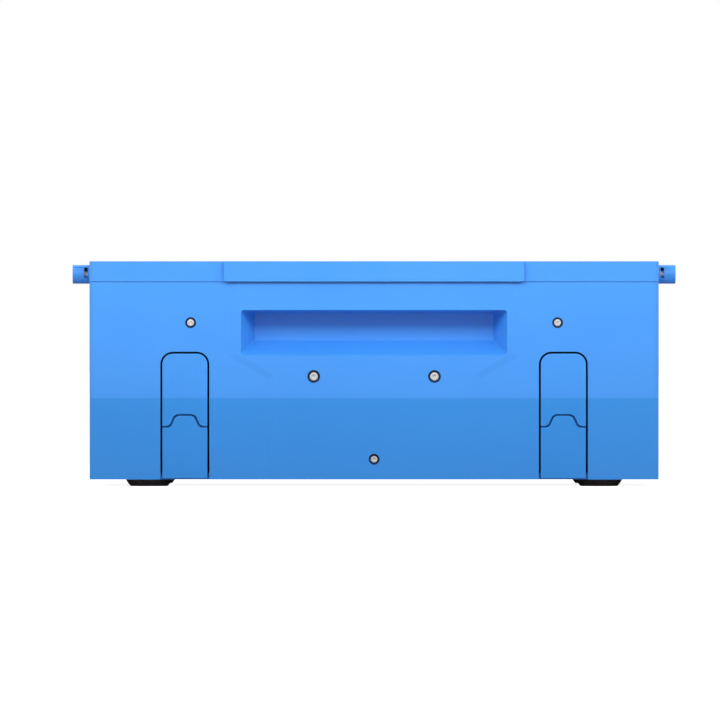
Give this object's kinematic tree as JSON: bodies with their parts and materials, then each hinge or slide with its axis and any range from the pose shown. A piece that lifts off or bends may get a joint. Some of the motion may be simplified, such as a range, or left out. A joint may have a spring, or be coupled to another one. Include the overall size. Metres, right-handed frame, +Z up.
{
  "type": "direct injection box",
  "caption": "Blue half-rack direct injection box with a hinged lid, rear grip recess, battery drawers, jack inputs, pads, ground lifts and balanced outputs.",
  "frame": {"origin": "on the ground, under the middle of the whole box", "axes": "+Z up; -Y out of the rear wall with the grip; +Y out of the connector panel; +X to the right as the rear wall is seen"},
  "size_m": [0.2294, 0.153, 0.0854],
  "materials": {
    "blue_enamel": "smooth semi-gloss blue enamel",
    "blue_moulding": "smooth moulded blue, matched to the case",
    "panel_black": "satin black",
    "black_plastic": "moulded",
    "foot_rubber": "semi-gloss brown-black",
    "steel": "bright zinc plate",
    "nickel": "satin nickel plate",
    "board_green": "solder mask",
    "transformer_can": "drawn metal can",
    "battery_wrap": "plain pale jacket with a dark band at the stud end",
    "knob_grey": "soft touch",
    "white_print": "screen-printed ink",
    "lamp_lens": "clear tinted dome",
    "gold_contact": "thin gold flash",
    "wire_red": "soft insulation",
    "wire_black": "soft insulation"
  },
  "bodies": {
    "case": {"case_body": "blue_enamel", "front_panel": "panel_black", "foot_rear_left": "foot_rubber", "foot_rear_right": "foot_rubber", "foot_front_left": "foot_rubber", "foot_front_right": "foot_rubber", "bay_screw_left": "steel", "bay_screw_right": "steel", "bracket_screw_left": "steel", "bracket_screw_right": "steel", "bracket_screw_lower": "steel", "hinge_leaf_case": "steel", "hinge_pin": "steel", "transformer_bracket": "steel", "battery_bay_left": "black_plastic", "battery_bay_right": "black_plastic", "main_board": "board_green", "transformer_1": "transformer_can", "transformer_2": "transformer_can", "input_jack_1": "black_plastic", "link_jack_1": "black_plastic", "output_contacts_1": "black_plastic", "pad_switch_1": "black_plastic", "polarity_switch_1": "black_plastic", "input_jack_nut_1": "nickel", "link_jack_nut_1": "nickel", "output_socket_1": "nickel", "lift_switch_1": "nickel", "input_jack_2": "black_plastic", "link_jack_2": "black_plastic", "output_contacts_2": "black_plastic", "pad_switch_2": "black_plastic", "polarity_switch_2": "black_plastic", "input_jack_nut_2": "nickel", "link_jack_nut_2": "nickel", "output_socket_2": "nickel", "lift_switch_2": "nickel"},
    "lid": {"lid": "blue_enamel", "hinge_leaf_lid": "steel"},
    "lock_left": {"lid_lock_lever_left": "blue_moulding", "lid_lock_spindle_left": "steel"},
    "drawer_left": {"battery_drawer_left": "blue_moulding", "pull_pin_left": "steel", "battery_left": "battery_wrap"},
    "pull_left": {"drawer_pull_left": "blue_moulding"},
    "lock_right": {"lid_lock_lever_right": "blue_moulding", "lid_lock_spindle_right": "steel"},
    "drawer_right": {"battery_drawer_right": "blue_moulding", "pull_pin_right": "steel", "battery_right": "battery_wrap"},
    "pull_right": {"drawer_pull_right": "blue_moulding"},
    "pad_1": {"pad_knob_1": "knob_grey", "pad_shaft_1": "nickel"},
    "lift_1": {"lift_lever_1": "nickel"},
    "polarity_1": {"polarity_button_1": "blue_moulding"},
    "pad_2": {"pad_knob_2": "knob_grey", "pad_shaft_2": "nickel"},
    "lift_2": {"lift_lever_2": "nickel"},
    "polarity_2": {"polarity_button_2": "blue_moulding"}
  },
  "joints": [
    {"name": "lid_hinge", "type": "hinge", "parent": "case", "child": "lid", "pos_m": [0, 0.0678, 0.0776], "axis": [-1, 0, 0], "range_deg": [0, 100]},
    {"name": "lock_turn_left", "type": "hinge", "parent": "lid", "child": "lock_left", "pos_m": [-0.108, -0.0605, 0.0806], "axis": [-1, 0, 0], "range_deg": [0, 55]},
    {"name": "drawer_slide_left", "type": "slide", "parent": "case", "child": "drawer_left", "axis": [0, -1, 0], "range_m": [0, 0.05]},
    {"name": "pull_swing_left", "type": "hinge", "parent": "drawer_left", "child": "pull_left", "pos_m": [-0.0718, -0.0711, 0.0047], "axis": [1, 0, 0], "range_deg": [0, 30], "stiffness_Nm_per_rad": 0.01, "springref_deg": -11.46},
    {"name": "lock_turn_right", "type": "hinge", "parent": "lid", "child": "lock_right", "pos_m": [0.108, -0.0605, 0.0806], "axis": [-1, 0, 0], "range_deg": [0, 55]},
    {"name": "drawer_slide_right", "type": "slide", "parent": "case", "child": "drawer_right", "axis": [0, -1, 0], "range_m": [0, 0.05]},
    {"name": "pull_swing_right", "type": "hinge", "parent": "drawer_right", "child": "pull_right", "pos_m": [0.0718, -0.0711, 0.0047], "axis": [1, 0, 0], "range_deg": [0, 30], "stiffness_Nm_per_rad": 0.01, "springref_deg": -11.46},
    {"name": "pad_turn_1", "type": "hinge", "parent": "case", "child": "pad_1", "pos_m": [0.083, 0.0679, 0.052], "axis": [0, 1, 0], "range_deg": [-30, 30]},
    {"name": "lift_tilt_1", "type": "hinge", "parent": "case", "child": "lift_1", "pos_m": [0.064, 0.0649, 0.052], "axis": [-1, 0, 0], "range_deg": [0, 24]},
    {"name": "polarity_push_1", "type": "slide", "parent": "case", "child": "polarity_1", "axis": [0, -1, 0], "range_m": [0, 0.002], "stiffness_N_per_m": 300, "springref_m": -0.002},
    {"name": "pad_turn_2", "type": "hinge", "parent": "case", "child": "pad_2", "pos_m": [-0.015, 0.0679, 0.052], "axis": [0, 1, 0], "range_deg": [-30, 30]},
    {"name": "lift_tilt_2", "type": "hinge", "parent": "case", "child": "lift_2", "pos_m": [-0.034, 0.0649, 0.052], "axis": [-1, 0, 0], "range_deg": [0, 24]},
    {"name": "polarity_push_2", "type": "slide", "parent": "case", "child": "polarity_2", "axis": [0, -1, 0], "range_m": [0, 0.002], "stiffness_N_per_m": 300, "springref_m": -0.002}
  ]
}
